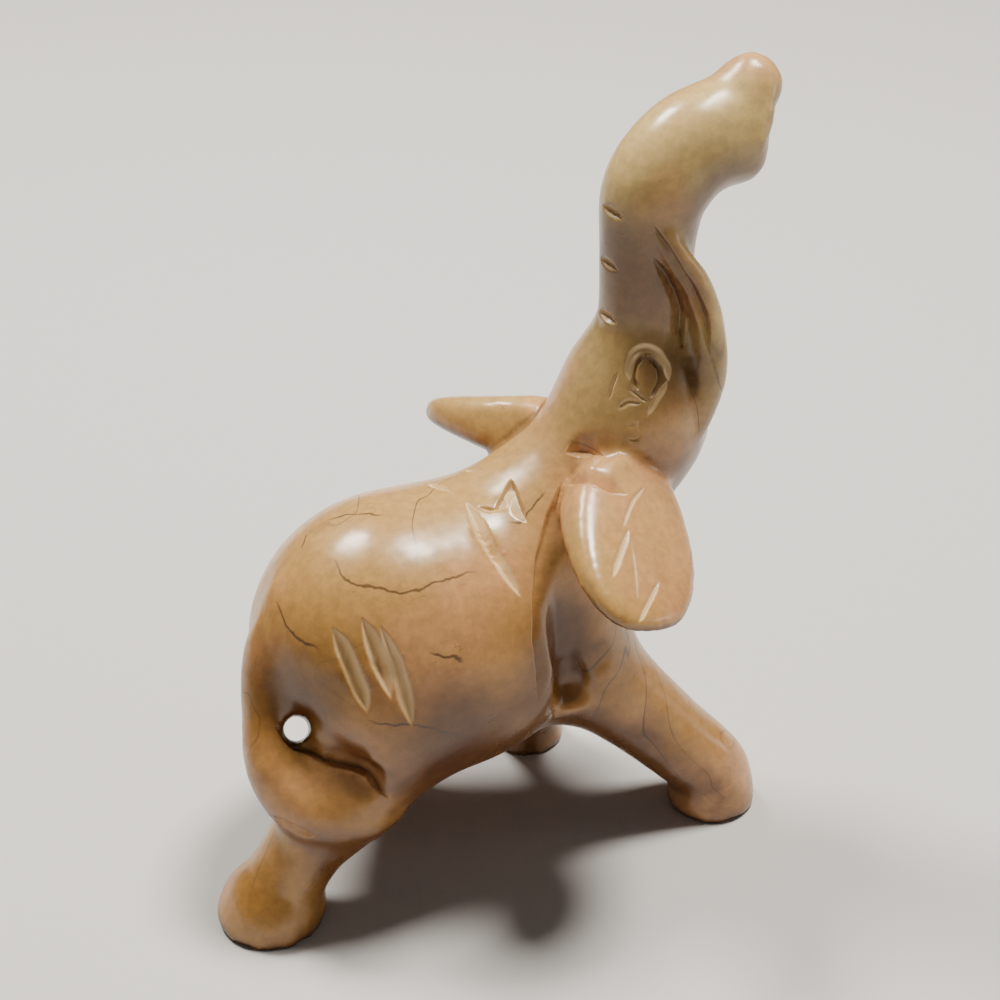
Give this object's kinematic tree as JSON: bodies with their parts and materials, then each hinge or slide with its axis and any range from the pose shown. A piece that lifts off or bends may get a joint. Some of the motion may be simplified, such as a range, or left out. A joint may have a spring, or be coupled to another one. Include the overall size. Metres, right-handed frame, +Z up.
{
  "type": "elephant sculpture",
  "caption": "Hand-carved polished soapstone elephant striding with its trunk raised, spread ears, curled tail and incised tool cuts; stands on its feet.",
  "frame": {"origin": "centre of the bounding box in plan, in the plane of the soles that it stands on", "axes": "+X the way the elephant faces, +Y towards its left side, +Z up"},
  "size_m": [0.1054, 0.07, 0.1308],
  "materials": {
    "soapstone": "polished satin soapstone, cream to pinkish tan, with thin dark grey-brown veins"
  },
  "bodies": {
    "root": {"elephant": "soapstone"}
  },
  "joints": []
}
